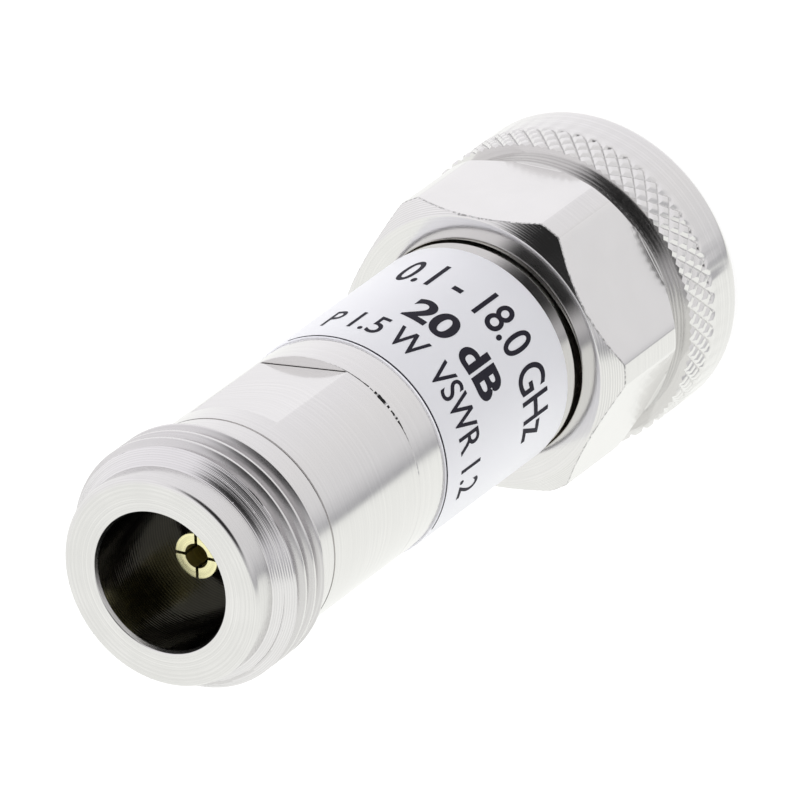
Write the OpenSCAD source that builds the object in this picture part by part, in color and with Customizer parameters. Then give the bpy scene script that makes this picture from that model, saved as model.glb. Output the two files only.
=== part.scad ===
// Fixed coaxial attenuator with type N ends, standing on the front rim of its coupling nut.
// The axis is +Z: plug and nut at the bottom, socket mouth at the top.

/* [Coupling nut] */
// Length of the nut along the axis
nut_len = 14.6; // [14:0.1:18]
// Wall between the ring's cavity and the hexagon's flats: 18 mm across the flats as drawn
hex_wall = 0.85; // [0.6:0.05:1.6]
// Height of the hexagon's turned corners above its flats
corner_step = 1; // [0.7:0.05:1.2]
// Inset of the rear face's edge from the flats
rear_inset = 0.1; // [0:0.05:0.4]
// Height of the collar between hexagon and grip above the flats
collar_step = 0.2; // [0.05:0.05:0.5]
// Length of the collar
collar_len = 0.8; // [0.4:0.1:1.4]
// Height of the grip and front band above the hexagon's corners
grip_step = 0.1; // [0:0.05:1]
// Length of the grip with its front band
grip_len = 5.6; // [4.5:0.1:6.6]
// Length of the chamfer between hexagon and collar
hex_chamfer_len = 1; // [0.6:0.1:1.4]
// Radius of the front rim's edge
rim_r = 0.6; // [0.2:0.1:0.8]
// Thickness of the rear lip
lip_t = 1.4; // [1:0.1:1.6]
// Depth of the nut's thread
nut_thread_depth = 0.54; // [0.4:0.02:0.6]
// Depth of the countersink at the nut's mouth
mouth_relief = 0.9; // [0.4:0.1:1.4]
// Distance from the front rim to the end of the nut's thread
nut_thread_len = 9; // [8:0.1:9.3]
// Length of the relief behind the nut's thread
relief_len = 1.1; // [0.6:0.1:1.4]
// Depth of that relief below the thread
relief_step = 0.2; // [0.05:0.01:0.3]
// Chamfer at the rear edge of the lip's hole
lip_chamfer = 0.1; // [0.05:0.05:0.4]
// Angle of a hexagon corner from +X, as the nut was left
hex_turn = 23.7; // [0:0.1:60]

/* [Body] */
// Outside diameter of the sleeve and the jack's body
body_d = 14.4; // [14:0.1:14.6]
// Wall of the sleeve
sleeve_wall = 1; // [0.8:0.05:1.2]
// Length of the sleeve
sleeve_len = 18.25; // [16:0.05:26]
// Length of the plug's spigot in the sleeve
plug_spigot_len = 3.75; // [3.3:0.05:4.5]
// Length of the jack's spigot in the sleeve
jack_spigot_len = 4.5; // [3.5:0.1:5.5]

/* [Label] */
// Width of the label along the axis
label_w = 14.35; // [10:0.05:14.5]
// Thickness of the label
label_t = 0.1; // [0.06:0.01:0.2]
// Distance from the sleeve's upper end to the label
label_drop = 2.8; // [1:0.05:3.5]

/* [Jack] */
// Length of the jack above the sleeve
jack_len = 18; // [16.5:0.1:24]
// Major diameter of the jack's thread
thread_d = 15.875; // [15.6:0.005:16]
// Distance from the mouth's face to the start of the full thread
thread_start = 2.8; // [2.4:0.1:3.4]
// Distance from the mouth's face to the end of the thread
thread_end = 6; // [4.6:0.1:7]
// Chamfer at the rear edge of the thread
thread_rear_chamfer = 0.15; // [0.1:0.05:0.4]
// Length of the tapered nose
nose_len = 1.7; // [1.2:0.1:1.9]
// Diameter of the nose at its face
nose_face_d = 13.5; // [12.8:0.1:13.5]
// Diameter of the nose where the thread's chamfer starts
nose_root_d = 13.6; // [13.6:0.1:14.2]
// Radius of the nose's front edge
nose_edge_r = 0.3; // [0.1:0.05:0.4]
// Distance from the mouth's face to the turned line on the neck
neck_line = 8.05; // [7.4:0.05:8.8]
// Width of the turned line
neck_line_w = 0.16; // [0.1:0.02:0.4]
// Depth of the turned line
neck_line_depth = 0.12; // [0.06:0.02:0.3]
// Depth of the two wrench flats
flat_depth = 0.7; // [0.3:0.05:0.9]
// Length of the wrench flats above the sleeve
flat_len = 8; // [5:0.1:8.4]

/* [Jack mouth] */
// Depth of the mouth's straight entry
mouth_depth = 3.9; // [3.4:0.05:4.1]
// Height of the taper from that entry to the seat of the mating plug's outer contact
mouth_step = 0.4; // [0.2:0.05:0.6]
// Length of that seat in front of the reference plane
mating_land = 0.4; // [0.2:0.1:1]
// Chamfer round the mouth
mouth_chamfer = 0.25; // [0.1:0.05:0.4]

/* [Coaxial line] */
// Depth of the reference plane behind the socket's face
mate_depth = 9.1; // [8.9:0.02:9.4]
// Inside diameter of the outer conductor
line_d = 7; // [6.8:0.02:7.2]
// Diameter of the centre conductor
core_d = 3.04; // [2.9:0.02:3.2]
// Diameter of the centre conductor behind the reference plane
stem_d = 2.2; // [1.8:0.05:2.4]
// Length of the outer conductor before each bead
line_land = 1.5; // [0.8:0.1:2]
// Step from the outer conductor to the insulating beads
bead_step = 1.1; // [0.8:0.05:1.3]
// Thickness of the insulating beads
bead_t = 3; // [2:0.1:3.2]
// Diameter of the bore through the chip clamp's ends
clamp_line_d = 5.1; // [4.4:0.1:5.8]

/* [Contacts] */
// Outside diameter of the socket contact's tip
socket_d = 2.9; // [2.6:0.05:3]
// Distance from the socket's face to the contact's tip
socket_drop = 4.15; // [3.9:0.05:4.3]
// Diameter of the hole in the socket contact
socket_hole_d = 1.6; // [1.5:0.02:1.75]
// Depth of the hole in the socket contact
socket_hole_depth = 6; // [5:0.1:7]
// Width of the slots in the socket contact
socket_slot_w = 0.2; // [0.15:0.01:0.3]
// Length of the slots in the socket contact
socket_slot_len = 4.5; // [3:0.1:5]
// Angle of the first slot from +X
socket_turn = -6.3; // [-45:0.1:45]
// Diameter of the plug's pin
pin_d = 1.64; // [1.6:0.01:1.68]
// Distance from the outer contact's tip to the pin's tip
pin_drop = 0.6; // [0.2:0.1:1.2]
// Length of the taper at the pin's tip
pin_taper = 0.7; // [0.4:0.1:1]
// Distance from the outer contact's tip to the pin's shoulder
pin_shoulder = 5.3; // [5.2:0.02:5.6]
// Wall of the plug's outer contact
outer_wall = 0.5; // [0.3:0.02:0.6]
// Step from the outer contact to its seat in the plug
outer_seat_step = 0.5; // [0.3:0.05:0.7]
// Length of the outer contact's seat
outer_seat_len = 3; // [2:0.1:3.2]
// Number of slots in the outer contact
outer_slots = 6; // [4:1:8]
// Width of the outer contact's slots
outer_slot_w = 0.35; // [0.2:0.05:0.5]
// Length of the outer contact's slots
outer_slot_len = 6; // [4:0.1:7]
// Overlap of each fork on the chip
fork_grip = 1; // [0.6:0.1:1.4]

/* [Nut retention] */
// Height by which the sleeve stands above the plug's shoulder, round which the nut turns
plug_step = 0.1; // [0:0.05:0.2]
// Thickness of the split ring
ring_t = 0.9; // [0.6:0.05:1]
// Height by which the split ring stands out of the plug
ring_step = 0.85; // [0.7:0.05:0.95]
// Radial width of the split ring
ring_w = 1.05; // [1:0.05:1.2]
// Depth of the ring's groove in the plug
groove_depth = 0.85; // [0.7:0.05:0.9]
// Angle of the gap in the split ring
ring_gap = 24; // [10:1:60]
// Thickness of the flange in front of the ring
flange_t = 1; // [0.8:0.05:1.2]
// Thickness of the gasket
gasket_t = 1; // [0.8:0.05:1.2]
// Inset of the gasket's edge from the flange's edge
gasket_inset = 0.1; // [0:0.05:0.4]

/* [Chip] */
// Width of the ceramic chip
chip_w = 7; // [6:0.1:8]
// Thickness of the ceramic chip
chip_t = 0.64; // [0.4:0.02:0.9]
// Free length at each end of the chip
chip_end = 0.4; // [0.2:0.05:0.8]
// Width of the open channel over the film
channel_w = 4.6; // [3.6:0.1:5]
// Depth of the channel on each side of the chip
channel_depth = 2.1; // [1.6:0.1:2.4]

/* [Clearances] */
// Radial gap between the nut's lip and the plug
nut_gap = 0.25; // [0.2:0.01:0.5]
// Gap between the nut's rear face and the sleeve
sleeve_gap = 0.15; // [0.1:0.01:0.4]
// Radial gap between the split ring and the nut's cavity
cavity_gap = 0.2; // [0.1:0.02:0.3]
// Gap above and below the split ring in the nut's cavity
nut_play = 0.15; // [0.1:0.01:0.3]
// Gap on each side of the split ring in its groove
groove_play = 0.05; // [0.02:0.01:0.1]
// Radial gap between a mating plug's outer contact and the jack
mating_gap = 0.05; // [0.02:0.01:0.1]
// Gap of pieces that are pressed, glued or clamped together
fit_gap = 0.02; // [0.01:0.005:0.05]

/* [Hidden] */
$fn = 96;
// Overshoot of cutting solids
over = 1;
nickel = [0.80, 0.79, 0.77];
gold = [0.83, 0.69, 0.32];
ptfe = [0.94, 0.94, 0.92];
// Heights of the plug end, downward from the nut's lip
z_lip = nut_len - lip_t;
z_ring_top = z_lip - nut_play;
z_ring_bottom = z_ring_top - ring_t;
z_groove_top = z_ring_top + groove_play;
z_groove_bottom = z_ring_bottom - groove_play;
z_seat = z_groove_bottom - flange_t;
z_gasket = z_seat - gasket_t;
z_contact_tip = z_gasket - mate_depth;
z_cavity = z_ring_bottom - nut_play;
// Heights of the plug end, upward from the nut's rear face
z_sleeve_bottom = nut_len + sleeve_gap;
z_plug_top = z_sleeve_bottom + plug_spigot_len;
z_outer_top = z_seat + outer_seat_len;
z_plug_bead = z_plug_top - bead_t - fit_gap;
// Heights of the jack end
z_sleeve_top = z_sleeve_bottom + sleeve_len;
z_face = z_sleeve_top + jack_len;
z_jack_bottom = z_sleeve_top - jack_spigot_len;
z_plane = z_face - mate_depth;
z_bead_seat = z_plane - line_land;
z_jack_bead = z_bead_seat - bead_t;
// Radii that several pieces share
body_r = body_d / 2;
sleeve_r = body_r - sleeve_wall;
spigot_r = sleeve_r - fit_gap;
line_r = line_d / 2;
bead_r = line_r + bead_step;
outer_r = line_r + outer_wall;
outer_seat_r = outer_r + outer_seat_step;
mating_r = outer_r + mating_gap;
mouth_r = mating_r + mouth_step;
stem_r = stem_d / 2;
thread_r = thread_d / 2;
relief_r = thread_r + relief_step;
plug_r = body_r - plug_step;
ring_r = plug_r + ring_step;
lip_r = plug_r + nut_gap;
cavity_r = ring_r + cavity_gap;
hex_flat_r = max(cavity_r, relief_r) + hex_wall;
corner_r = hex_flat_r + corner_step;
collar_r = hex_flat_r + collar_step;
label_r = body_r + fit_gap;
// Chip between the two clamps
chip_z0 = z_plug_top + chip_end;
chip_z1 = z_jack_bottom - chip_end;
fork_slot = chip_t + 2 * fit_gap;

// Solid of revolution from points of radius and height
module turned(points) {
    rotate_extrude() polygon(points);
}

// Straight ring between two radii and two heights
module ring(r_in, r_out, z0, z1) {
    translate([0, 0, z0]) difference() {
        cylinder(r = r_out, h = z1 - z0);
        translate([0, 0, -over]) cylinder(r = r_in, h = z1 - z0 + 2 * over);
    }
}

// Radial slots through one side of a round wall
module slots(count, width, reach, z0, z1) {
    for (i = [0 : count - 1])
        rotate(i * 360 / count) translate([0, -width / 2, z0]) cube([reach, width, z1 - z0]);
}

// Cutter that rounds the outer edge of a turned end: flat end at z, material above or below it
module edge_cut(r_edge, z, r_round, up) {
    translate([0, 0, z]) mirror([0, 0, up ? 0 : 1]) rotate_extrude() difference() {
        translate([r_edge - r_round, -over]) square([r_round + over, r_round + over]);
        translate([r_edge - r_round, r_round]) circle(r = r_round);
    }
}

// Socket end: nose, thread barrel, neck, wrench flats and the spigot in the sleeve
module jack_body() {
    nose_slope = (nose_root_d - nose_face_d) / 2 / nose_len;
    line_top = z_face - neck_line;
    line_bottom = line_top - neck_line_w;
    color(nickel) difference() {
        turned([
            [0, z_jack_bottom],
            [spigot_r, z_jack_bottom],
            [spigot_r, z_sleeve_top],
            [body_r, z_sleeve_top],
            [body_r, line_bottom],
            [body_r - neck_line_depth, line_bottom],
            [body_r - neck_line_depth, line_top],
            [body_r, line_top],
            [body_r, z_face - thread_end],
            [thread_r - thread_rear_chamfer, z_face - thread_end],
            [thread_r, z_face - thread_end + thread_rear_chamfer],
            [thread_r, z_face - thread_start],
            [nose_root_d / 2, z_face - nose_len],
            [nose_face_d / 2, z_face],
            [0, z_face]
        ]);
        edge_cut(nose_face_d / 2 + nose_edge_r * nose_slope, z_face, nose_edge_r, false);
        turned([
            [0, z_jack_bottom - over],
            [bead_r, z_jack_bottom - over],
            [bead_r, z_bead_seat],
            [line_r, z_bead_seat],
            [line_r, z_plane],
            [mating_r, z_plane],
            [mating_r, z_plane + mating_land],
            [mouth_r, z_face - mouth_depth],
            [mouth_r, z_face - mouth_chamfer],
            [mouth_r + mouth_chamfer, z_face],
            [mouth_r + mouth_chamfer, z_face + over],
            [0, z_face + over]
        ]);
        for (side = [0, 180])
            rotate(side) translate([body_r - flat_depth, -body_r, z_sleeve_top])
                cube([body_r, body_d, flat_len]);
    }
}

// Slotted socket contact with the fork that grips the chip
module jack_contact() {
    tip = z_face - socket_drop;
    fork_end = chip_z1 - fork_grip;
    color(gold) difference() {
        turned([
            [0, fork_end],
            [stem_r, fork_end],
            [stem_r, z_bead_seat],
            [core_d / 2, z_bead_seat],
            [core_d / 2, z_plane],
            [socket_d / 2, z_plane],
            [socket_d / 2, tip],
            [0, tip]
        ]);
        translate([0, 0, tip - socket_hole_depth])
            cylinder(d = socket_hole_d, h = socket_hole_depth + over);
        rotate(socket_turn) slots(4, socket_slot_w, socket_d, tip - socket_slot_len, tip + over);
        translate([-fork_slot / 2, -stem_d, fork_end - over])
            cube([fork_slot, 2 * stem_d, fork_grip + fit_gap + over]);
    }
}

// Insulating bead of the socket contact
module jack_bead() {
    color(ptfe) ring(stem_r + fit_gap, bead_r - fit_gap, z_jack_bead, z_bead_seat);
}

// Plain tube between the two ends
module sleeve() {
    color(nickel) ring(sleeve_r, body_r, z_sleeve_bottom, z_sleeve_top);
}

// Wrap-round label
module label() {
    top = z_sleeve_top - label_drop;
    color("white") ring(label_r, label_r + label_t, top - label_w, top);
}

// Half of the split clamp, on the +X side of the chip, before its colour
module chip_clamp() {
    clamp_r = sleeve_r - fit_gap;
    nose_r = bead_r - fit_gap;
    difference() {
        turned([
            [0, z_plug_top],
            [clamp_r, z_plug_top],
            [clamp_r, z_jack_bottom],
            [nose_r, z_jack_bottom],
            [nose_r, z_jack_bead],
            [0, z_jack_bead]
        ]);
        translate([0, 0, z_jack_bottom])
            cylinder(d = clamp_line_d, h = z_jack_bead - z_jack_bottom + over);
        translate([-body_r, -channel_w / 2, z_plug_top - over])
            cube([body_r + chip_t / 2 + channel_depth, channel_w, z_jack_bottom - z_plug_top + over]);
        translate([-body_r, -chip_w / 2 - fit_gap, chip_z0 - fit_gap])
            cube([body_r + chip_t / 2 + fit_gap, chip_w + 2 * fit_gap, chip_z1 - chip_z0 + 2 * fit_gap]);
        translate([fit_gap / 2 - 2 * body_r, -body_r, 0]) cube([2 * body_r, body_d, z_face]);
    }
}

module chip_clamp_right() {
    color(nickel) chip_clamp();
}

module chip_clamp_left() {
    color(nickel) rotate(180) chip_clamp();
}

// Ceramic plate with the resistive film
module attenuator_chip() {
    color("whitesmoke") translate([-chip_t / 2, -chip_w / 2, chip_z0])
        cube([chip_t, chip_w, chip_z1 - chip_z0]);
}

// Plug end: flange, ring groove, shoulder and the spigot in the sleeve
module plug_body() {
    color(nickel) difference() {
        turned([
            [0, z_seat],
            [plug_r, z_seat],
            [plug_r, z_groove_bottom],
            [plug_r - groove_depth, z_groove_bottom],
            [plug_r - groove_depth, z_groove_top],
            [plug_r, z_groove_top],
            [plug_r, z_sleeve_bottom],
            [spigot_r, z_sleeve_bottom],
            [spigot_r, z_plug_top],
            [0, z_plug_top]
        ]);
        turned([
            [0, z_seat - over],
            [outer_seat_r, z_seat - over],
            [outer_seat_r, z_outer_top],
            [line_r, z_outer_top],
            [line_r, z_plug_bead],
            [bead_r, z_plug_bead],
            [bead_r, z_plug_top + over],
            [0, z_plug_top + over]
        ]);
    }
}

// Slotted outer contact, pressed into the plug's body
module plug_outer_contact() {
    seat_r = outer_seat_r - fit_gap;
    color(nickel) difference() {
        turned([
            [line_r, z_contact_tip],
            [outer_r, z_contact_tip],
            [outer_r, z_seat],
            [seat_r, z_seat],
            [seat_r, z_outer_top],
            [line_r, z_outer_top]
        ]);
        slots(outer_slots, outer_slot_w, line_d,
            z_contact_tip - over, z_contact_tip + outer_slot_len);
    }
}

// Centre pin with the fork that grips the chip
module plug_pin() {
    tip = z_contact_tip + pin_drop;
    shoulder = z_contact_tip + pin_shoulder;
    fork_end = chip_z0 + fork_grip;
    color(gold) difference() {
        turned([
            [0, tip],
            [pin_d / 4, tip],
            [pin_d / 2, tip + pin_taper],
            [pin_d / 2, shoulder],
            [core_d / 2, shoulder],
            [core_d / 2, z_plug_bead],
            [stem_r, z_plug_bead],
            [stem_r, fork_end],
            [0, fork_end]
        ]);
        translate([-fork_slot / 2, -stem_d, chip_z0 - fit_gap])
            cube([fork_slot, 2 * stem_d, fork_grip + fit_gap + over]);
    }
}

// Insulating bead of the centre pin
module plug_bead() {
    color(ptfe) ring(stem_r + fit_gap, bead_r - fit_gap, z_plug_bead, z_plug_bead + bead_t);
}

// Rubber ring that the mating socket presses on
module gasket() {
    color("firebrick") ring(outer_r + fit_gap, plug_r - gasket_inset, z_gasket, z_seat);
}

// Split ring that keeps the nut on the plug
module c_ring() {
    gap_reach = 2 * ring_r * tan(ring_gap / 2);
    color("goldenrod") difference() {
        ring(ring_r - ring_w, ring_r, z_ring_bottom, z_ring_top);
        translate([0, 0, z_ring_bottom - over]) linear_extrude(ring_t + 2 * over)
            polygon([[0, 0], [2 * ring_r, -gap_reach], [2 * ring_r, gap_reach]]);
    }
}

// Hexagon with turned corners, collar, grip and front band, bored for thread, ring and sleeve
module coupling_nut() {
    rear_r = hex_flat_r - rear_inset;
    grip_r = corner_r + grip_step;
    minor_r = thread_r - nut_thread_depth;
    hex_r = hex_flat_r / cos(30);
    z_collar = grip_len + collar_len;
    color(nickel) difference() {
        union() {
            intersection() {
                turned([
                    [0, grip_len],
                    [collar_r, grip_len],
                    [collar_r, z_collar],
                    [corner_r, z_collar + hex_chamfer_len],
                    [corner_r, nut_len - corner_r + rear_r],
                    [rear_r, nut_len],
                    [0, nut_len]
                ]);
                rotate(hex_turn) cylinder(r = hex_r, h = nut_len + over, $fn = 6);
            }
            translate([0, 0, grip_len]) cylinder(r = collar_r, h = collar_len);
            cylinder(r = grip_r, h = grip_len);
        }
        edge_cut(grip_r, 0, rim_r, true);
        turned([
            [0, -over],
            [relief_r, -over],
            [relief_r, 0],
            [minor_r, mouth_relief],
            [minor_r, nut_thread_len],
            [relief_r, nut_thread_len],
            [relief_r, nut_thread_len + relief_len],
            [lip_r, nut_thread_len + relief_len],
            [lip_r, z_cavity],
            [cavity_r, z_cavity],
            [cavity_r, z_lip],
            [lip_r, z_lip],
            [lip_r, nut_len - lip_chamfer],
            [lip_r + lip_chamfer, nut_len],
            [lip_r + lip_chamfer, nut_len + over],
            [0, nut_len + over]
        ]);
    }
}

jack_body();
jack_contact();
jack_bead();
sleeve();
label();
chip_clamp_left();
chip_clamp_right();
attenuator_chip();
plug_body();
plug_outer_contact();
plug_pin();
plug_bead();
gasket();
c_ring();
coupling_nut();
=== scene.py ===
"""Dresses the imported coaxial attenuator: threads, knurl, label and print, finishes, light and camera."""

import math

import bmesh
import bpy
import numpy as np
from mathutils import Matrix, Vector


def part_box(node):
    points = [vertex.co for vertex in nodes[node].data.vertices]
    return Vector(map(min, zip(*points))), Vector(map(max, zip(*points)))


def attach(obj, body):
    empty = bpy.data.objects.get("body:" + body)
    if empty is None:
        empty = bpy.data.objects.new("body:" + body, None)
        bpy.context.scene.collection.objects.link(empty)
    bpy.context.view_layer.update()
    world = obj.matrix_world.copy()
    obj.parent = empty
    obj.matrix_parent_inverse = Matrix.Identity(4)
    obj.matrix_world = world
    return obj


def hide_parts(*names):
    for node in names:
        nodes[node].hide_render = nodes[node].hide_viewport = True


MM = 0.001

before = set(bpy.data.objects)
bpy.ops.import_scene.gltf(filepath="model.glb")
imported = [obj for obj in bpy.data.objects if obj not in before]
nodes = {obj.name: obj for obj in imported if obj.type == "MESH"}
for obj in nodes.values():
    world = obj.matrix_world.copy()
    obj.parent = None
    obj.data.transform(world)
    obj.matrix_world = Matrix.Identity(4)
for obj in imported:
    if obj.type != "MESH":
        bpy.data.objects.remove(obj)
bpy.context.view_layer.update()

# Heights that the solids give, in mm
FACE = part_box("jack_body")[1].z / MM
JACK_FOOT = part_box("jack_body")[0].z / MM
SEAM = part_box("sleeve")[1].z / MM
SLEEVE_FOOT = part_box("sleeve")[0].z / MM
NUT_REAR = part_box("coupling_nut")[1].z / MM
LABEL_FOOT, LABEL_TOP = (corner.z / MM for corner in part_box("label"))

# Sizes that repeat the source's own and that several pieces share, in mm
BODY_R = 7.2
SLEEVE_BORE_R = 6.2
LABEL_R = 7.32
THREAD_R = 15.875 / 2
PITCH = 25.4 / 24
GRIP_R = 10.1
GRIP_LEN = 5.6
GRIP_SEAT_R = 8.9


# Mesh helpers

# Most of a wall that the round at its end may take, and where the row that supports the round lies, in
# lengths of the round. No divisor is less than TINY.
ROUND_SHARE = 0.45
SUPPORT_AT = 1.1
TINY = 1e-9

# Vertices closer than this are one, in metres, and faces at a larger angle than this keep a sharp edge
WELD = 2e-7
SHARP_FROM = math.radians(28)

# Margins in mm by which a mask takes in faces near a size
SNUG, LOOSE = 0.02, 0.05

# Thread form in mm: half the width of a crest, depth, and how much its flanks steepen with depth
CREST_HALF = PITCH / 16
THREAD_DEPTH = 0.613 * PITCH
FLANK_CURVE = 1.84


def wrap(value, period=360):
    """Value brought within half a period of 0."""
    return (value + period / 2) % period - period / 2


def ease(points, steps=4):
    """Closed profile of (r, z, corner) points, with each corner rounded over its own length. A row close
    to each end of the round keeps the walls beside it flat in their shading."""
    out = []
    for i, (r, z, corner) in enumerate(points):
        p = np.array((r, z))
        if not corner:
            out.append(p)
            continue
        before = np.array(points[i - 1][:2]) - p
        after = np.array(points[(i + 1) % len(points)][:2]) - p
        before_len, after_len = np.linalg.norm(before), np.linalg.norm(after)
        cut = min(corner, ROUND_SHARE * before_len, ROUND_SHARE * after_len)
        start = p + before * (cut / max(before_len, TINY))
        end = p + after * (cut / max(after_len, TINY))
        out.append(p + SUPPORT_AT * (start - p))
        for t in np.linspace(0, 1, steps + 1):
            out.append((1 - t) ** 2 * start + 2 * t * (1 - t) * p + t * t * end)
        out.append(p + SUPPORT_AT * (end - p))
    return out


def place(name, mesh, body, materials):
    """Object for a finished mesh: smooth faces, sharp edges, materials and the body that it rides on."""
    for polygon in mesh.polygons:
        polygon.use_smooth = True
    mesh.set_sharp_from_angle(angle=SHARP_FROM)
    for material in materials:
        mesh.materials.append(material)
    piece = bpy.data.objects.new(name, mesh)
    bpy.context.scene.collection.objects.link(piece)
    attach(piece, body)
    return piece


def lathe(name, angles, columns, body, materials, paint=None):
    """Piece swept round Z. columns holds a closed (r, z) profile in mm for each angle in degrees, up the
    outside and down the inside, and a full turn ends at the angle where it began. paint takes each face's
    least and greatest radius, its lowest and highest point at its first angle, and that angle, and gives
    pairs of material and mask; other faces get the first material."""
    columns = np.asarray(columns, float)
    angles = np.asarray(angles, float)
    radius, height = np.moveaxis(columns * MM, -1, 0)
    turn = np.radians(angles)[:, None]
    points = np.stack([radius * np.cos(turn), radius * np.sin(turn), height], -1)
    count, rows = radius.shape
    i, j = np.meshgrid(np.arange(count - 1), np.arange(rows), indexing="ij")
    k = (j + 1) % rows
    quads = np.stack([i * rows + j, (i + 1) * rows + j, (i + 1) * rows + k, i * rows + k], -1)
    mesh = bpy.data.meshes.new(name)
    mesh.from_pydata(points.reshape(-1, 3).tolist(), [], quads.reshape(-1, 4).tolist())
    if paint is not None:
        r, z = np.moveaxis(columns, -1, 0)
        r = np.stack([r[i, j], r[i + 1, j], r[i, k], r[i + 1, k]])
        z = np.stack([z[i, j], z[i, k]])
        picked = np.zeros(i.shape, np.int32)
        for material, mask in paint(r.min(0), r.max(0), z.min(0), z.max(0), angles[i]):
            picked[mask] = materials.index(material)
        mesh.polygons.foreach_set("material_index", picked.ravel())
    work = bmesh.new()
    work.from_mesh(mesh)
    bmesh.ops.remove_doubles(work, verts=work.verts, dist=WELD)
    bmesh.ops.dissolve_degenerate(work, edges=work.edges, dist=WELD)
    work.to_mesh(mesh)
    work.free()
    return place(name, mesh, body, materials)


def thread_heights(angle, crest, low, high, rows=24):
    """Height of a crest at an angle, and rows of heights that follow the helix there, held between low and
    high. crest is a crest's height at 0 degrees, and rows their number in one pitch."""
    start = crest + PITCH * angle / 360
    first = math.floor((low - crest) / PITCH - 1) * rows
    last = math.ceil((high - crest) / PITCH + 1) * rows
    return start, np.clip(start + np.arange(first, last + 1) * PITCH / rows, low, high)


def thread_drop(heights, start):
    """Depth below the crest of a thread with worn shoulders, in mm."""
    off = np.abs(wrap((heights - start) / PITCH, 1)) * PITCH
    down = np.clip(off - CREST_HALF, 0, None)
    return np.clip(down + FLANK_CURVE * down ** 2, 0, THREAD_DEPTH)


# Materials

# Weight of the radius in the length that turning lines are counted along
RADIUS_WEIGHT = 1.7


class Graph:
    """Short way to build the nodes of a material or a world."""

    def __init__(self, owner):
        self.owner = owner
        owner.use_nodes = True
        self.tree = owner.node_tree
        self.tree.nodes.clear()

    def add(self, kind, inputs=(), **settings):
        """Node of a kind, with its settings and inputs; an input is a value or another node's output."""
        node = self.tree.nodes.new("ShaderNode" + kind)
        for key, value in settings.items():
            setattr(node, key, value)
        for key, value in dict(inputs).items():
            self.set(node.inputs[key], value)
        return node

    def set(self, socket, value):
        if isinstance(value, bpy.types.NodeSocket):
            self.tree.links.new(value, socket)
        else:
            socket.default_value = value

    def math(self, operation, *values):
        return self.add("Math", enumerate(values), operation=operation).outputs[0]

    def vector_math(self, operation, inputs):
        return self.add("VectorMath", inputs, operation=operation).outputs

    def mix(self, share, first, second):
        return self.add("MixRGB", {0: share, 1: first, 2: second}).outputs[0]

    def ramp(self, value, source, target, **settings):
        """Value carried from one range to another, and held within it."""
        inputs = {"Value": value, "From Min": source[0], "From Max": source[1],
                  "To Min": target[0], "To Max": target[1]}
        return self.add("MapRange", inputs, **settings).outputs["Result"]

    def noise(self, scale, detail, vector=None, along=None, rough=0.5):
        """Noise in space, or along one length."""
        inputs = {"Scale": scale, "Detail": detail, "Roughness": rough}
        if along is not None:
            node = self.add("TexNoise", {**inputs, "W": along}, noise_dimensions="1D")
        else:
            node = self.add("TexNoise", {**inputs, "Vector": vector})
        return node.outputs["Fac"]

    def bump(self, height, depth):
        """Normal of a surface with relief of a depth in mm."""
        return self.add("Bump", {"Strength": 1.0, "Distance": depth * MM, "Height": height}).outputs[0]

    def done(self, shader, output="OutputMaterial"):
        self.add(output, {"Surface": shader.outputs[0]})
        return self.owner


def rgba(color, gain=1.0):
    """Opaque colour, made lighter or darker by a gain."""
    return (*[c * gain for c in color], 1)


def mm_coords(graph):
    """Object coordinates in mm, their parts, and a length that grows across turning lines on any slope."""
    coords = graph.add("TexCoord").outputs["Object"]
    scaled = graph.vector_math("SCALE", {0: coords, 3: 1 / MM})[0]
    split = graph.add("SeparateXYZ", {0: scaled}).outputs
    flat = graph.add("CombineXYZ", {0: split[0], 1: split[1]}).outputs[0]
    radius = graph.vector_math("LENGTH", {0: flat})["Value"]
    along = graph.math("SUBTRACT", graph.math("MULTIPLY", radius, RADIUS_WEIGHT), split[2])
    return scaled, split, along


def turned_metal(name, color, rough, depth, coarse=4.5, fine=13.0, tone=0.06, spread=0.5, feed=0.0):
    """Metal with turning lines round its axis, smudges and small pits. depth is the relief's depth in mm,
    coarse and fine are the scales of the lines' two noises, tone is how much the lines darken the metal
    as painted shade in their grooves, spread how far they stretch reflections, and feed the spacing in mm
    of the tool's own even marks, where they show."""
    fine_share, feed_share, pit_share = 0.5, 0.4, 0.6
    g = Graph(bpy.data.materials.new(name))
    coords, _, along = mm_coords(g)
    lines = g.math("ADD", g.noise(coarse, 3.0, along=along),
                   g.math("MULTIPLY", g.noise(fine, 2.0, along=along), fine_share))
    if feed:
        marks = g.math("SINE", g.math("MULTIPLY", along, 2 * math.pi / feed))
        lines = g.math("ADD", lines, g.math("MULTIPLY", marks, feed_share))
    smudge = g.noise(0.35, 4.0, vector=coords)
    pits = g.ramp(g.noise(5.5, 2.0, vector=coords), (0.70, 0.80), (0.0, -pit_share))
    # Darker where the lines run low, as painted shade in their grooves, and where smudges lie
    groove_shade_and_smudge = g.math("ADD", g.ramp(lines, (0.5, 1.0), (1.0, 0.0)), g.ramp(smudge, (0.35, 0.7), (0.5, 0.0)))
    return g.done(g.add("BsdfPrincipled", {
        "Base Color": g.mix(groove_shade_and_smudge, rgba(color), rgba(color, 1 - tone)),
        "Metallic": 1.0,
        "Roughness": g.ramp(smudge, (0.3, 0.7), (rough - 0.04, rough + 0.05)),
        "Anisotropic": spread,
        "Tangent": g.add("Tangent", direction_type="RADIAL", axis="Z").outputs[0],
        "Normal": g.bump(g.math("ADD", lines, pits), depth),
    }))


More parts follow.
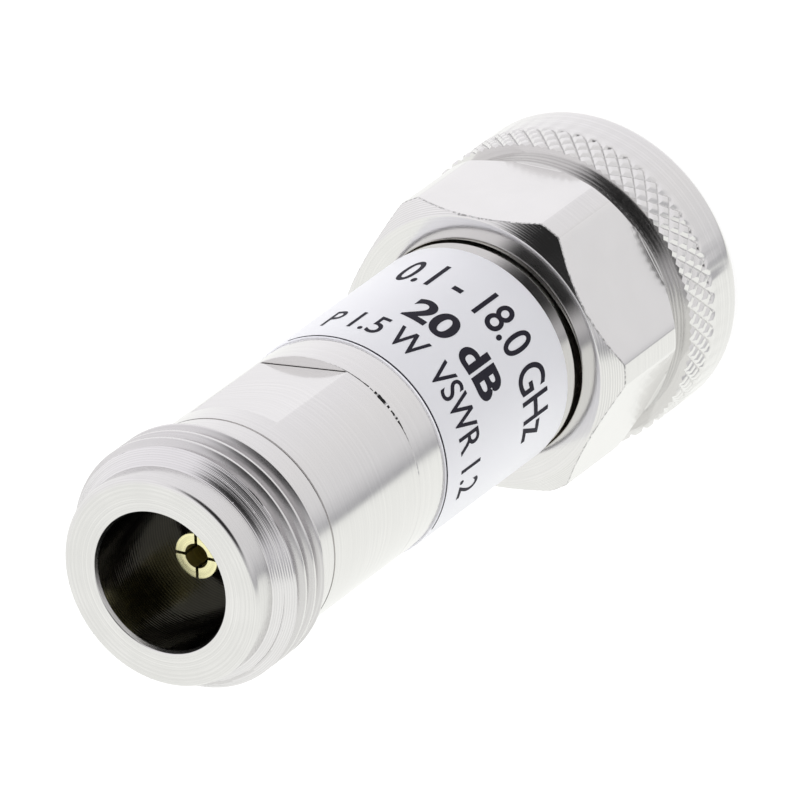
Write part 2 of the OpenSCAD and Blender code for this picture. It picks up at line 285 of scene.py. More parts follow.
def burr_metal(name, color):
    """Metal of a raw machined edge: bright nicks and dark crumbs along it."""
    crumb_tone, crumb_depth = 0.45, 0.02
    g = Graph(bpy.data.materials.new(name))
    coords, _, _ = mm_coords(g)
    crumbs = g.noise(5.0, 3.0, vector=coords, rough=0.7)
    bright = g.ramp(crumbs, (0.42, 0.60), (0.0, 1.0))
    return g.done(g.add("BsdfPrincipled", {
        "Base Color": g.mix(bright, rgba(color, crumb_tone), rgba(color)),
        "Metallic": 1.0,
        "Roughness": 0.3,
        "Normal": g.bump(crumbs, crumb_depth),
    }))


def milled_metal(name, color, rough):
    """Metal of the hexagon's flats and the knurl: fine grain round the axis, scratches and handling marks."""
    stretch, squeeze = 0.25, 9.0
    grain_share, grain_depth, smudge_tone = 0.5, 0.0012, 0.96
    g = Graph(bpy.data.materials.new(name))
    coords, split, _ = mm_coords(g)
    parts = [g.math("MULTIPLY", part, scale) for part, scale in zip(split, (stretch, stretch, squeeze))]
    across = g.add("CombineXYZ", enumerate(parts)).outputs[0]
    grain = g.noise(1.6, 3.0, vector=across)
    scratch = g.ramp(g.noise(0.9, 1.0, vector=across, rough=0.7), (0.66, 0.70), (0.0, -1.0))
    smudge = g.noise(0.5, 4.0, vector=coords)
    clean = g.ramp(smudge, (0.35, 0.7), (0.0, 1.0))
    return g.done(g.add("BsdfPrincipled", {
        "Base Color": g.mix(clean, rgba(color, smudge_tone), rgba(color)),
        "Metallic": 1.0,
        "Roughness": g.ramp(smudge, (0.3, 0.7), (rough - 0.04, rough + 0.06)),
        "Normal": g.bump(g.math("ADD", g.math("MULTIPLY", grain, grain_share), scratch), grain_depth),
    }))


def soft_solid(name, color, rough, grain, depth, variation=0.06, ior=1.46):
    """Plastic, rubber, ceramic or ink. grain is the scale of its fine relief, depth that relief's depth in
    mm, and variation how far its shade changes."""
    g = Graph(bpy.data.materials.new(name))
    coords, _, _ = mm_coords(g)
    cloud = g.noise(0.6, 3.0, vector=coords)
    return g.done(g.add("BsdfPrincipled", {
        "Base Color": g.mix(cloud, rgba(color, 1 - variation), rgba(color)),
        "Roughness": g.ramp(cloud, (0.3, 0.7), (rough - 0.05, rough + 0.05)),
        "IOR": ior,
        "Normal": g.bump(g.noise(grain, 3.0, vector=coords), depth),
    }))


STEEL = (0.80, 0.79, 0.785)

# Socket end, from its face to the end of its bore
steel_jack = turned_metal("steel_jack", STEEL, rough=0.15, depth=0.0010, spread=0.25)
steel_face = turned_metal("steel_face", STEEL, rough=0.20, depth=0.0024, coarse=4.0, fine=9.0, tone=0.12,
                          spread=0.3)
# The thread's flanks and roots are darker than the other steel: painted shade in its grooves
steel_thread = turned_metal("steel_thread", (0.72, 0.705, 0.71), rough=0.28, depth=0.0014, tone=0.12,
                            spread=0.2)
steel_chamfer = turned_metal("steel_chamfer", (0.78, 0.765, 0.775), rough=0.15, depth=0.0180, coarse=2.0,
                             fine=4.0, tone=0.10, spread=0.1, feed=0.29)
# The bore's steel is given a dark colour: painted shade inside the bore
steel_bore = turned_metal("steel_bore", (0.38, 0.37, 0.34), rough=0.13, depth=0.0034, coarse=5.0, tone=0.30,
                          spread=0.1, feed=0.2)
# Darker still towards the bore's end: painted shade deep in the bore
steel_deep = turned_metal("steel_deep", (0.10, 0.095, 0.09), rough=0.30, depth=0.0030)

# Sleeve, and the raw edges of sleeve and nut
steel_sleeve = turned_metal("steel_sleeve", STEEL, rough=0.15, depth=0.0008, tone=0.05, spread=0.25)
steel_band = turned_metal("steel_band", STEEL, rough=0.07, depth=0.0005, tone=0.05, spread=0.1)
steel_burr = burr_metal("steel_burr", STEEL)

# Coupling nut
steel_nut = turned_metal("steel_nut", STEEL, rough=0.14, depth=0.0012, tone=0.07, spread=0.25)
steel_cone = turned_metal("steel_cone", STEEL, rough=0.13, depth=0.0050, coarse=3.5, fine=8.0, tone=0.12,
                          spread=0.1, feed=0.29)
# The collar's lines darken it more than the other turned faces: painted shade where it sits between grip and
# hexagon
steel_collar = turned_metal("steel_collar", STEEL, rough=0.15, depth=0.0160, coarse=5.0, tone=0.25,
                            spread=0.1, feed=0.33)
steel_flats = milled_metal("steel_flats", (0.83, 0.82, 0.815), rough=0.20)
steel_knurl = milled_metal("steel_knurl", STEEL, rough=0.20)

# Label
label_film = soft_solid("label_film", (0.90, 0.90, 0.945), rough=0.38, grain=7.0, depth=0.0010,
                        variation=0.03)
ink = soft_solid("print_ink", (0.018, 0.016, 0.028), rough=0.55, grain=25.0, depth=0.001, variation=0.3,
                 ior=1.25)

# Contacts, plug and inside
gold = turned_metal("gold_contact", (0.98, 0.93, 0.56), rough=0.20, depth=0.0020, coarse=3.0, tone=0.16)
# Gold of the contact's hole: rougher, and darker as painted shade in the hole
gold_hole_shaded = turned_metal("gold_hole_shaded", (0.86, 0.78, 0.40), rough=0.60, depth=0.0040, coarse=3.0, tone=0.20)
plug_metal = turned_metal("plug_metal", (0.74, 0.73, 0.69), rough=0.28, depth=0.0015)
# Split ring: its bronze colour darkened almost to black, as painted shade in the gap where it sits
bronze = turned_metal("spring_bronze", (0.10, 0.08, 0.06), rough=0.45, depth=0.0010)
clamp_metal = turned_metal("clamp_metal", (0.72, 0.70, 0.65), rough=0.32, depth=0.0012)
# Beads: pale plastic, darkened to a warm grey as painted shade deep inside the connector
ptfe = soft_solid("ptfe", (0.80, 0.79, 0.74), rough=0.42, grain=6.0, depth=0.0015)
ceramic = soft_solid("ceramic", (0.90, 0.89, 0.85), rough=0.55, grain=20.0, depth=0.002)
rubber = soft_solid("gasket_rubber", (0.36, 0.06, 0.04), rough=0.55, grain=12.0, depth=0.004, variation=0.2)


# Seam between sleeve and socket end

# Break of the sleeve's edge in mm: its least, its jitter, and the scale of the chips
EDGE_BREAK = 0.035
EDGE_JITTER = 0.02
CHIP_SIZE = 0.30

# Angles between which the chips grow and fade, and the level of noise at which the edge begins to chip
CHIP_ARC = [-67, -56, -41, -35]
CHIP_LEVEL = 0.25

# Noise round the edge: its samples, the one at angle 0, and for its fine and slow reading the samples
# that pass in a degree and the share of each
CHIP_SAMPLES = 400
CHIP_MIDDLE = 300
FINE_PACE, SLOW_PACE = 1.6, 0.45
FINE_SHARE, SLOW_SHARE = 0.4, 0.6

# Gap above the seam in mm: at least, under a wrench flat, and as a share of a chip that is past a size
SEAM_GAP = 0.02
FLAT_GAP = 0.09
CHIP_SHARE = 0.8
CHIP_PAST = 0.06

chip_noise = np.random.default_rng(7).random(CHIP_SAMPLES)


def seam_chip(angle):
    """Size of the sleeve's edge break in mm: chipped towards the camera side, fine elsewhere."""
    near = wrap(angle)
    fine, slow = (np.interp(near * pace + CHIP_MIDDLE, np.arange(CHIP_SAMPLES), chip_noise)
                  for pace in (FINE_PACE, SLOW_PACE))
    chipped = np.interp(near, CHIP_ARC, [0, 1, 1, 0])
    rough = max(0.0, FINE_SHARE * fine + SLOW_SHARE * slow - CHIP_LEVEL)
    return EDGE_BREAK + EDGE_JITTER * fine + CHIP_SIZE * chipped * rough


# Socket end with its thread

# Wrench flats: distance from the axis, and length up from the seam, in mm
WRENCH_FLAT = 6.5
WRENCH_LEN = 8.0

# Radii of the nose, mouth, line and bead seat, in mm
NOSE_ROOT_R = 6.8
NOSE_FACE_R = 6.75
MOUTH_EDGE_R = 4.60
MOUTH_R = 4.45
TAPER_R = 4.05
LINE_R = 3.50
BEAD_R = 4.60

# Depths below the face, in mm
MOUTH_EDGE = 0.32
LEAD_TOP = 1.7
LEAD_FOOT = 2.8
FIRST_CREST = 3.56
THREAD_FOOT = 6.0
NECK_LINE = 8.05
TAPER_TOP = 3.9
TAPER_FOOT = 8.7
REFERENCE_PLANE = 9.1
BEAD_TOP = 10.6

# Small lengths in mm: round of the nose, run-out of the thread, neck line, and the spigot's gap in the sleeve
NOSE_ROUND = 0.44
RUN_OUT = 0.15
NECK_WIDE, NECK_DEEP = 0.16, 0.12
SPIGOT_GAP = 0.02

# Angle at which the first crest lies at its depth, and the angular step of the mesh, in degrees
CREST_ANGLE = 45
JACK_STEP = 1.25


def jack_profile(angle):
    """Section of the socket end: spigot, shank with a wrench flat, neck line, thread, nose and bore."""
    across = abs(math.cos(math.radians(angle)))
    flat_r = min(BODY_R, WRENCH_FLAT / max(across, TINY))
    flat_top = SEAM + WRENCH_LEN
    chip_gap = max(SEAM_GAP, CHIP_SHARE * (seam_chip(angle) - CHIP_PAST))
    foot = SEAM + (FLAT_GAP if flat_r < BODY_R else chip_gap)
    line_top = FACE - NECK_LINE
    line_foot = line_top - NECK_WIDE
    low, high = FACE - THREAD_FOOT, FACE - LEAD_TOP
    crest = FACE - FIRST_CREST + PITCH * CREST_ANGLE / 360
    start, heights = thread_heights(angle, crest, low, high)
    outside = np.interp(heights, [low, low + RUN_OUT, FACE - LEAD_FOOT, high],
                        [THREAD_R - RUN_OUT, THREAD_R, THREAD_R, NOSE_ROOT_R])
    barrel = np.stack([np.minimum(THREAD_R - thread_drop(heights, start), outside), heights], -1)
    shank = ease([
        (SLEEVE_BORE_R - SPIGOT_GAP, JACK_FOOT, 0),
        (SLEEVE_BORE_R - SPIGOT_GAP, foot, 0),
        (flat_r, foot, 0.05),
        (flat_r, flat_top, 0.10),
        (BODY_R, flat_top, 0.10),
        (BODY_R, line_foot, 0.02),
        (BODY_R - NECK_DEEP, line_foot, 0),
        (BODY_R - NECK_DEEP, line_top, 0),
        (BODY_R, line_top, 0.02),
        (BODY_R, low, 0),
    ])
    nose = ease([
        (NOSE_ROOT_R, high, 0),
        (NOSE_FACE_R, FACE, NOSE_ROUND),
        (MOUTH_EDGE_R, FACE, 0.06),
        (MOUTH_R, FACE - MOUTH_EDGE, 0.06),
        (MOUTH_R, FACE - TAPER_TOP, 0),
        (TAPER_R, FACE - TAPER_FOOT, 0),
        (TAPER_R, FACE - REFERENCE_PLANE, 0),
        (LINE_R, FACE - REFERENCE_PLANE, 0),
        (LINE_R, FACE - BEAD_TOP, 0),
        (BEAD_R, FACE - BEAD_TOP, 0),
        (BEAD_R, JACK_FOOT, 0),
    ])
    return np.concatenate([shank, barrel, nose[1:]])


def jack_paint(r_lo, r_hi, z_lo, z_hi, angle):
    """Face and nose, thread flanks darker with painted shade, lead chamfer, bore and the bore's end, both
    dark with painted shade. On the lead chamfer radius and height add up to nearly the same sum."""
    in_thread = (z_lo > FACE - THREAD_FOOT - LOOSE) & (z_hi < FACE - LEAD_TOP)
    lead_sum = FACE + NOSE_ROOT_R - LEAD_TOP
    in_bore = r_hi < MOUTH_EDGE_R + SNUG
    yield steel_face, (z_lo > FACE - LEAD_TOP - SNUG) & (r_hi < NOSE_ROOT_R + LOOSE)
    yield steel_thread, in_thread & (r_lo > BODY_R + LOOSE) & (r_lo < THREAD_R - LOOSE)
    yield steel_chamfer, (r_lo > NOSE_ROOT_R - SNUG) & (np.abs(r_hi + z_lo - lead_sum) < LOOSE)
    yield steel_bore, in_bore & (z_hi < FACE - MOUTH_EDGE + SNUG)
    yield steel_deep, in_bore & (z_hi < FACE - TAPER_FOOT + LOOSE)


flat_edge = math.degrees(math.acos(WRENCH_FLAT / BODY_R))
flat_edges = [side + sign * flat_edge for side in (0, 180) for sign in (-1, 1)]
jack_angles = np.unique(np.concatenate([np.arange(-90, 270.1, JACK_STEP), flat_edges]))
jack = lathe("jack_shell", jack_angles, [jack_profile(a) for a in jack_angles], "body",
             [steel_jack, steel_face, steel_chamfer, steel_bore, steel_deep, steel_thread], paint=jack_paint)
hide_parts("jack_body")


# Sleeve with eased ends

# Round of the foot, top of its smoother finish under the label, and the raw rim's place below the seam, in mm
FOOT_ROUND = 0.08
BAND_TOP = LABEL_FOOT + 1
RIM_BAND = (0.001, 0.002)

# Angular step of the mesh in degrees
SLEEVE_STEP = 0.75


def sleeve_profile(angle):
    """Section of the sleeve, its upper edge broken as the seam's chips say."""
    chip = seam_chip(angle)
    return ease([
        (SLEEVE_BORE_R, SLEEVE_FOOT, 0),
        (BODY_R, SLEEVE_FOOT, FOOT_ROUND),
        (BODY_R, BAND_TOP, 0),
        (BODY_R, SEAM - chip, 0.01),
        (BODY_R - chip, SEAM, 0.01),
        (SLEEVE_BORE_R, SEAM, 0),
    ])


def sleeve_paint(r_lo, r_hi, z_lo, z_hi, angle):
    """Raw rim of the edge at the seam, and the smooth foot."""
    on_rim = (z_hi > SEAM - RIM_BAND[1]) & (z_lo < SEAM - RIM_BAND[0])
    yield steel_burr, on_rim & (r_hi > BODY_R - CHIP_SIZE) & (z_lo > SEAM - CHIP_SIZE)
    yield steel_band, (r_lo > BODY_R - FOOT_ROUND - SNUG) & (z_hi < BAND_TOP + SNUG)


sleeve_angles = np.arange(0, 360.1, SLEEVE_STEP)
sleeve = lathe("sleeve_tube", sleeve_angles, [sleeve_profile(a) for a in sleeve_angles], "body",
               [steel_sleeve, steel_burr, steel_band], paint=sleeve_paint)
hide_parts("sleeve")


# Coupling nut: hexagon, collar, bore and thread in one mesh

# Hexagon: distance of its flats and turned corners from the axis in mm, and its first flat's angle
FLAT_R = 9.0
CORNER_R = 10.0
HEX_FIRST_FLAT = -6.3

# Wear of its upright edges in mm: depth, and how far it reaches to each side
EDGE_WEAR, EDGE_REACH = 0.02, 0.03

# Collar between grip and hexagon, how deep it stands in the grip, and the slope of the front chamfer
COLLAR_R = 9.2
COLLAR_TOP = GRIP_LEN + 0.8
COLLAR_SUNK = 0.3
FRONT_SLOPE = 1.25

# Rear face in mm: its radius, its dish, and the lip's radius and edge
REAR_R = 8.9
DISH = 0.18
LIP_R = 7.25
LIP_EDGE = 0.04

# Crescent where the nut hangs off the sleeve: how far the lip stands back in mm, and angles along it
CRESCENT = 0.20
CRESCENT_ARC = [-140, -118, -104, -84, -70, -56]

# Radii inside, in mm: the split ring's cavity, the shoulder before it, and the thread's relief and crests
CAVITY_R = 8.15
SHOULDER_R = 7.35
RELIEF_R = 8.1375
MINOR_R = 7.3975

# Depths of the lip and the cavity below the rear face, and of the cone's finish, in mm
LIP_DEPTH = 1.4
CAVITY_DEPTH = 2.6
CONE_DEPTH = 1.25

# Thread inside, in mm: its upper end, a crest's height at angle 0, lengths of relief and countersink, and gap
NUT_THREAD_END = 9.0
NUT_CREST = 3.0
RELIEF_LEN = 1.1
SINK_LEN = 0.9
NUT_THREAD_GAP = 0.02

# A flat's faces are taller than this in mm, and a face's first angle counts a hair later, in degrees
FLAT_TALL = 2
HAIR = 0.01

# Mesh: columns on a flat and on a corner, and the angular step beside the edge between them
FLAT_COLUMNS, CORNER_COLUMNS = 27, 5
EDGE_STEP = 0.6


def hex_radius(angle):
    """Radius of the hexagon with turned corners, its edges a little soft."""
    flat = FLAT_R / math.cos(math.radians(wrap(angle - HEX_FIRST_FLAT, 60)))
    return min(flat, CORNER_R) - EDGE_WEAR * math.exp(-((flat - CORNER_R) / EDGE_REACH) ** 2)


def nut_profile(angle):
    """Section of the nut without its grip. Its lip stands back where the nut hangs off the sleeve."""
    r = hex_radius(angle)
    front = COLLAR_TOP + max(0.0, r - COLLAR_R) * FRONT_SLOPE
    lip_r = LIP_R + CRESCENT * np.interp(wrap(angle), CRESCENT_ARC, [0, 0.5, 1, 1, 0.5, 0])
    start, heights = thread_heights(angle, NUT_CREST, 0.0, NUT_THREAD_END, rows=16)
    heights = heights[::-1]
    sink = np.interp(heights, [0, SINK_LEN], [RELIEF_R, MINOR_R])
    thread = np.maximum(THREAD_R + NUT_THREAD_GAP - thread_drop(heights, start), MINOR_R)
    outline = ease([
        (GRIP_SEAT_R, 0.0, 0),
        (GRIP_SEAT_R, GRIP_LEN - COLLAR_SUNK, 0),
        (COLLAR_R, GRIP_LEN - COLLAR_SUNK, 0),
        (COLLAR_R, COLLAR_TOP, 0.06),
        (r, front, 0.06),
        (r, NUT_REAR - (r - REAR_R), 0.06),
        (REAR_R, NUT_REAR, 0.06),
        (lip_r + LIP_EDGE, NUT_REAR - DISH, 0.02),
        (lip_r, NUT_REAR - DISH - LIP_EDGE, 0.02),
        (lip_r, NUT_REAR - LIP_DEPTH, 0),
        (CAVITY_R, NUT_REAR - LIP_DEPTH, 0),
        (CAVITY_R, NUT_REAR - CAVITY_DEPTH, 0),
        (SHOULDER_R, NUT_REAR - CAVITY_DEPTH, 0),
        (SHOULDER_R, NUT_THREAD_END + RELIEF_LEN, 0),
        (RELIEF_R, NUT_THREAD_END + RELIEF_LEN, 0),
        (RELIEF_R, NUT_THREAD_END, 0),
    ])
    return np.concatenate([outline, np.stack([np.maximum(thread, sink), heights], -1)])


corner_off = math.degrees(math.acos(FLAT_R / CORNER_R))


def nut_paint(r_lo, r_hi, z_lo, z_hi, angle):
    """Rear cone, its worn edges, the flats, and the collar."""
    off = np.abs(wrap(angle + HAIR - HEX_FIRST_FLAT, 60))
    hexagon = (r_hi > FLAT_R - LOOSE) & (z_lo > COLLAR_TOP - 2 * LOOSE)
    rear = z_lo > NUT_REAR - CONE_DEPTH
    tall = z_hi - z_lo
    on_collar = (r_hi < COLLAR_R + LOOSE) & (r_lo > COLLAR_R - LOOSE)
    yield steel_cone, hexagon & rear
    yield steel_burr, hexagon & rear & (tall < LOOSE)
    yield steel_flats, hexagon & (tall > FLAT_TALL) & (off < corner_off)
    yield steel_collar, on_collar & (z_hi < COLLAR_TOP + SNUG)


sector = np.concatenate([
    np.linspace(-corner_off, corner_off, FLAT_COLUMNS),
    [-corner_off - EDGE_STEP, corner_off + EDGE_STEP],
    np.linspace(corner_off + 2 * EDGE_STEP, 60 - corner_off - 2 * EDGE_STEP, CORNER_COLUMNS),
])
nut_angles = np.sort(np.concatenate([HEX_FIRST_FLAT + 60 * n + sector for n in range(6)]))
nut_angles = np.append(nut_angles, nut_angles[0] + 360)
nut_core = lathe("nut_core", nut_angles, [nut_profile(a) for a in nut_angles], "nut",
                 [steel_nut, steel_flats, steel_cone, steel_collar, steel_burr], paint=nut_paint)
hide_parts("coupling_nut")


# Grip of the nut with its diamond knurl and smooth front band

# Knurl in mm: its lower end, a diamond's height, and the length over which its grooves fade in
KNURL_FOOT = 2.65
KNURL_REPEAT = 1.25
KNURL_FADE = 0.45

# Diamonds round the grip, their shift at its rear as a share of one, and steps of the mesh across one
KNURL_TURNS = 56
KNURL_SHIFT = 0.25
KNURL_STEPS = 20

# Depth and half width of a V groove, reach of the knurl's finish, and round of the front rim, in mm
GROOVE_DEPTH = 0.20
GROOVE_HALF = 0.23
KNURL_REACH = 0.3
RIM_ROUND = 0.75

pitch_round = 2 * math.pi * GRIP_R / KNURL_TURNS
across_groove = math.cos(math.atan2(pitch_round, KNURL_REPEAT))


def groove(phase):
    """Depth of a V groove, in mm, from its phase round the grip."""
    distance = np.abs(wrap(phase, 1)) * pitch_round * across_groove
    return GROOVE_DEPTH * np.clip(1 - distance / GROOVE_HALF, 0, 1)


def grip_sections(angles):
    """Sections of the grip: rounded rim, smooth band and knurl. Two sets of grooves cross on it."""
    step = KNURL_REPEAT / KNURL_STEPS
    heights = GRIP_LEN - np.arange(int((GRIP_LEN - KNURL_FOOT) / step), -1, -1) * step
    turns = angles[:, None] / 360 * KNURL_TURNS
    rows = (heights[None, :] - GRIP_LEN) / KNURL_REPEAT + KNURL_SHIFT
    depth = np.maximum(groove(turns + rows), groove(turns - rows))
    depth *= np.clip((heights - KNURL_FOOT) / KNURL_FADE, 0, 1)[None, :]
    rim = ease([(GRIP_SEAT_R, 0.0, 0), (GRIP_R, 0.0, RIM_ROUND), (GRIP_R, KNURL_FOOT, 0)], steps=8)[:-1]
    rear = [(GRIP_SEAT_R, GRIP_LEN)]
    return [np.concatenate([rim, np.stack([r, heights], -1), rear]) for r in GRIP_R - depth]


def grip_paint(r_lo, r_hi, z_lo, z_hi, angle):
    """The knurl, but not the band below it."""
    yield steel_knurl, (z_lo > KNURL_FOOT - SNUG) & (r_lo > GRIP_R - KNURL_REACH)


grip_angles = np.linspace(0, 360, KNURL_TURNS * KNURL_STEPS + 1)
grip = lathe("nut_grip", grip_angles, grip_sections(grip_angles), "nut",
             [steel_nut, steel_knurl], paint=grip_paint)
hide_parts("coupling_nut")


# Label with its lapped end at the back, edge line and print

# Lap: angles of its ends, and of the step at one end and the slope at the other, and its rise in mm
LAP_FROM, LAP_TO = 118.0, 134.0
LAP_STEP, LAP_SLOPE = 0.2, 6
LAP_RISE = 0.07

# Gap under the label, and the ink's underside and top above it, in mm
LABEL_GAP = 0.005
INK_FOOT, INK_TOP = 0.002, 0.012

# Edge line: its two edges below the label's top in mm, and the angles of its ends
LINE_EDGES = (0.16, 0.02)
LINE_FROM, LINE_TO = -130, 24

# Angular step of these meshes in degrees, and cuts across a line of print, so that it bends
LABEL_STEP = 1.5
PRINT_CUTS = 90


def label_profile(angle):
    """Section of the label, thicker where its end laps over its start."""
    bends = [LAP_FROM, LAP_FROM + LAP_STEP, LAP_TO - LAP_SLOPE, LAP_TO]
    lap = LAP_RISE * np.interp(angle, bends, [0, 1, 1, 0])
    return ease([
        (BODY_R + LABEL_GAP, LABEL_FOOT, 0),
        (LABEL_R + lap, LABEL_FOOT, 0.05),
        (LABEL_R + lap, LABEL_TOP, 0.05),
        (BODY_R + LABEL_GAP, LABEL_TOP, 0),
    ])


def print_line(name, words, foot, cap, span, bold):
    """Words wrapped round the label, their tops towards the nut. foot is the height of their feet and cap
    that of a capital in mm, span the angles where they begin and end, and bold thickens their strokes."""
    font = bpy.data.curves.new(name, "FONT")
    font.body = words
    font.offset = bold
    flat = bpy.data.objects.new(name + "_flat", font)
    bpy.context.scene.collection.objects.link(flat)
    mesh = bpy.data.meshes.new_from_object(flat.evaluated_get(bpy.context.evaluated_depsgraph_get()))
    bpy.data.objects.remove(flat)
    bpy.data.curves.remove(font)
    work = bmesh.new()
    work.from_mesh(mesh)
    xs = [v.co.x for v in work.verts]
    left, wide = min(xs), max(xs) - min(xs)
    tall = max(v.co.y for v in work.verts)
    for x in np.linspace(left, left + wide, PRINT_CUTS)[1:-1]:
        parts = work.verts[:] + work.edges[:] + work.faces[:]
        bmesh.ops.bisect_plane(work, geom=parts, plane_co=(x, 0, 0), plane_no=(1, 0, 0), dist=1e-5)
    first, last = span
    radius = (LABEL_R + INK_TOP) * MM
    for v in work.verts:
        angle = math.radians(first + (last - first) * (v.co.x - left) / wide)
        height = (foot - v.co.y / tall * cap) * MM
        v.co = (radius * math.cos(angle), radius * math.sin(angle), height)
    work.to_mesh(mesh)
    work.free()
    return place(name, mesh, "body", [ink])


lap_angles = [LAP_FROM, LAP_FROM + LAP_STEP, LAP_TO]
label_angles = np.unique(np.concatenate([np.arange(-180, 180.1, LABEL_STEP), lap_angles]))
label = lathe("label_wrap", label_angles, [label_profile(a) for a in label_angles], "body",
              [label_film])
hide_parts("label")

line_angles = np.arange(LINE_FROM, LINE_TO + 0.1, LABEL_STEP)
line_foot, line_top = (LABEL_TOP - edge for edge in LINE_EDGES)
line_section = [
    (LABEL_R + INK_FOOT, line_foot),
    (LABEL_R + INK_TOP, line_foot),
    (LABEL_R + INK_TOP, line_top),
    (LABEL_R + INK_FOOT, line_top),
]
lathe("print_edge", line_angles, [line_section] * len(line_angles), "body", [ink])

print_line("print_range", "0.1 - 18.0 GHz", foot=21.1, cap=2.9, span=(7.7, -112.3), bold=0.010)
print_line("print_value", "20 dB", foot=25.1, cap=2.55, span=(-17.0, -78.0), bold=0.032)
print_line("print_rating", "P 1.5 W  VSWR 1.2", foot=28.4, cap=2.24, span=(12.7, -118.0), bold=0.008)


# Finishes of the solids that stay

# Faces of the socket contact nearer to the axis than this are in its hole, in mm
CONTACT_HOLE_R = 0.82

for name, material in {
    "jack_contact": gold, "plug_pin": gold, "jack_bead": ptfe, "plug_bead": ptfe,
    "plug_body": plug_metal, "plug_outer_contact": plug_metal, "gasket": rubber, "c_ring": bronze,
    "chip_clamp_left": clamp_metal, "chip_clamp_right": clamp_metal, "attenuator_chip": ceramic,
}.items():
    slots = nodes[name].data.materials
    slots.clear()
    slots.append(material)

# The socket contact's hole is rougher than its tip, and darker with painted shade in the hole
contact = nodes["jack_contact"]
contact.data.materials.append(gold_hole_shaded)
for polygon in contact.data.polygons:
    middle = contact.matrix_world @ polygon.center
    polygon.material_index = int(math.hypot(middle.x, middle.y) < CONTACT_HOLE_R * MM)


# Floor, world, lamps and camera

# Floor: half its side in metres, how bright it looks, and how much light it gives back
FLOOR_HALF = 2
FLOOR_GLOW = 0.74
FLOOR_TONE = 0.36

# What the metal reflects: the room's tone by azimuth in degrees
ROOM_TONES = [
    (-179, (0.98, 0.99, 0.96)),
    (-113, (0.96, 0.97, 0.94)),
    (-108, (0.36, 0.36, 0.38)),
    (-98, (0.62, 0.615, 0.63)),
    (-85, (0.76, 0.755, 0.765)),
    (-45, (0.83, 0.82, 0.825)),
    (-5, (0.88, 0.87, 0.89)),
    (55, (0.97, 0.96, 0.98)),
    (120, (0.97, 0.98, 0.95)),
    (179, (0.98, 0.99, 0.96)),
]

# The dark side where the photographer stands: its middle, its rim and core as angles from that middle in
# degrees, and the room's gain outside the rim and inside the core
CAMERA_SIDE = Vector((0.58, -0.45, 0.68)).normalized()
DARK_RIM, DARK_CORE = 42, 21
ROOM_GAIN, DARK_GAIN = 1.10, 0.03

# Strength of the world's light on matt surfaces
AMBIENT = 1.02

# Where the lamps point, in metres
LAMP_TARGET = Vector((0, 0, 0.02))

# Camera: sensor and focal length in mm, place in metres, and its own axes
SENSOR_WIDTH = 36
FOCAL_LENGTH = 670.1
CAMERA_PLACE = (0.3330, -0.4729, 0.7154)
CAMERA_RIGHT = (-0.1286, -0.8465, -0.5167)
CAMERA_UP = (0.9206, 0.0919, -0.3796)
CAMERA_BACK = (0.3689, -0.5245, 0.7674)


def pale_floor():
    """Floor that looks white, and still takes the object's shadow."""
    g = Graph(bpy.data.materials.new("floor"))
    rays = g.add("LightPath").outputs
    mirrored = g.math("MAXIMUM", rays["Is Glossy Ray"], rays["Is Transmission Ray"])
    seen = g.math("MAXIMUM", rays["Is Camera Ray"], mirrored)
    glow = g.add("Emission", {"Color": (1, 1, 1, 1), "Strength": g.math("MULTIPLY", seen, FLOOR_GLOW)})
    matte = g.add("BsdfDiffuse", {"Color": rgba([FLOOR_TONE] * 3)})
    return g.done(g.add("AddShader", {0: glow.outputs[0], 1: matte.outputs[0]}))


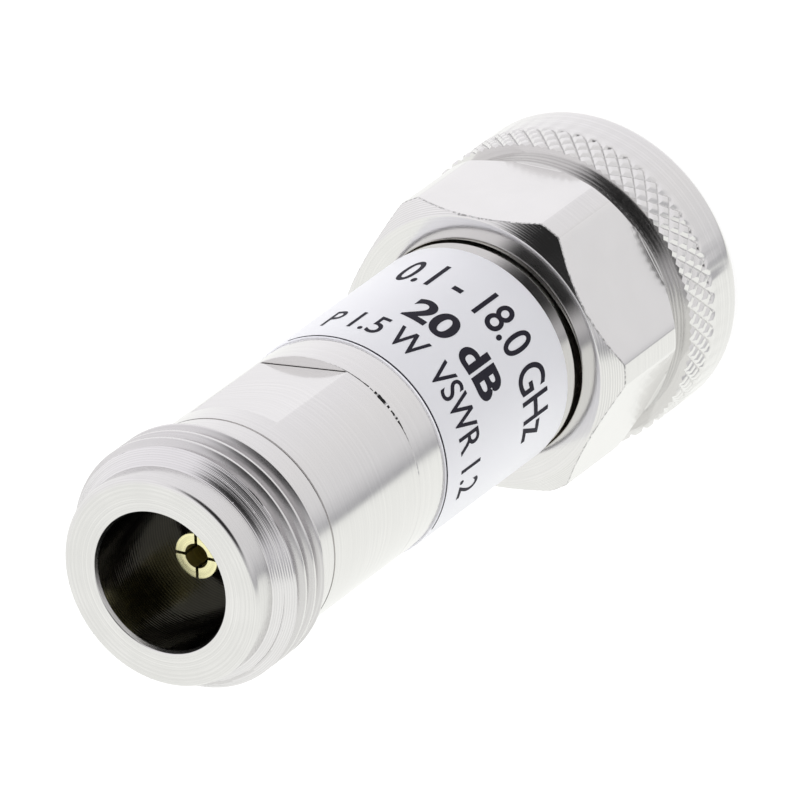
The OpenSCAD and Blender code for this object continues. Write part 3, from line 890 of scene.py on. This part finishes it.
def studio_world():
    """White studio: plain white to the camera, and in reflections darker towards the room."""
    g = Graph(bpy.data.worlds.new("studio"))
    rays = g.add("LightPath").outputs
    way = g.add("TexCoord").outputs["Generated"]
    split = g.add("SeparateXYZ", {0: way}).outputs
    turn = g.ramp(g.math("ARCTAN2", split[1], split[0]), (-math.pi, math.pi), (0.0, 1.0))
    walls = g.add("ValToRGB", {0: turn})
    stops = walls.color_ramp.elements
    for azimuth, color in ROOM_TONES:
        stops.new((azimuth + 180) / 360).color = rgba(color)
    # The ramp's own two stops lie at its ends
    stops.remove(stops[0])
    stops.remove(stops[-1])
    towards = g.vector_math("DOT_PRODUCT", {0: way, 1: CAMERA_SIDE})["Value"]
    rim, core = (math.cos(math.radians(angle)) for angle in (DARK_RIM, DARK_CORE))
    gain = g.ramp(towards, (rim, core), (ROOM_GAIN, DARK_GAIN), interpolation_type="SMOOTHSTEP")
    mirror = g.vector_math("SCALE", {0: walls.outputs[0], 3: gain})[0]
    seen = g.math("MAXIMUM", rays["Is Camera Ray"], rays["Is Transmission Ray"])
    sharp = g.math("MAXIMUM", seen, rays["Is Glossy Ray"])
    return g.done(g.add("Background", {
        "Color": g.mix(seen, mirror, (1, 1, 1, 1)),
        "Strength": g.ramp(sharp, (0.0, 1.0), (AMBIENT, 1.0)),
    }), output="OutputWorld")


def softbox(name, position, size, power):
    """Square lamp aimed at the object, which shiny surfaces don't mirror."""
    lamp = bpy.data.lights.new(name, "AREA")
    lamp.shape = "SQUARE"
    lamp.size = size
    lamp.energy = power
    holder = bpy.data.objects.new(name, lamp)
    holder.location = position
    holder.rotation_euler = (LAMP_TARGET - Vector(position)).to_track_quat("-Z", "Y").to_euler()
    holder.visible_glossy = False
    bpy.context.scene.collection.objects.link(holder)


scene = bpy.context.scene
scene.world = studio_world()
scene.view_settings.view_transform = "Standard"

floor_mesh = bpy.data.meshes.new("floor")
corners = [(FLOOR_HALF * x, FLOOR_HALF * y, 0) for x, y in ((-1, -1), (1, -1), (1, 1), (-1, 1))]
floor_mesh.from_pydata(corners, [], [(0, 1, 2, 3)])
floor_mesh.materials.append(pale_floor())
floor = bpy.data.objects.new("floor", floor_mesh)
floor.visible_glossy = False
scene.collection.objects.link(floor)

softbox("key", position=(0.45, 0.12, 0.42), size=0.35, power=2.0)
softbox("fill", position=(-0.25, -0.55, 0.35), size=0.4, power=1.6)

lens = bpy.data.cameras.new("camera")
lens.sensor_width = SENSOR_WIDTH
lens.lens = FOCAL_LENGTH
lens.clip_start = 0.05
camera = bpy.data.objects.new("camera", lens)
spin = Matrix((CAMERA_RIGHT, CAMERA_UP, CAMERA_BACK)).transposed().to_4x4()
camera.matrix_world = Matrix.Translation(CAMERA_PLACE) @ spin
scene.collection.objects.link(camera)
scene.camera = camera
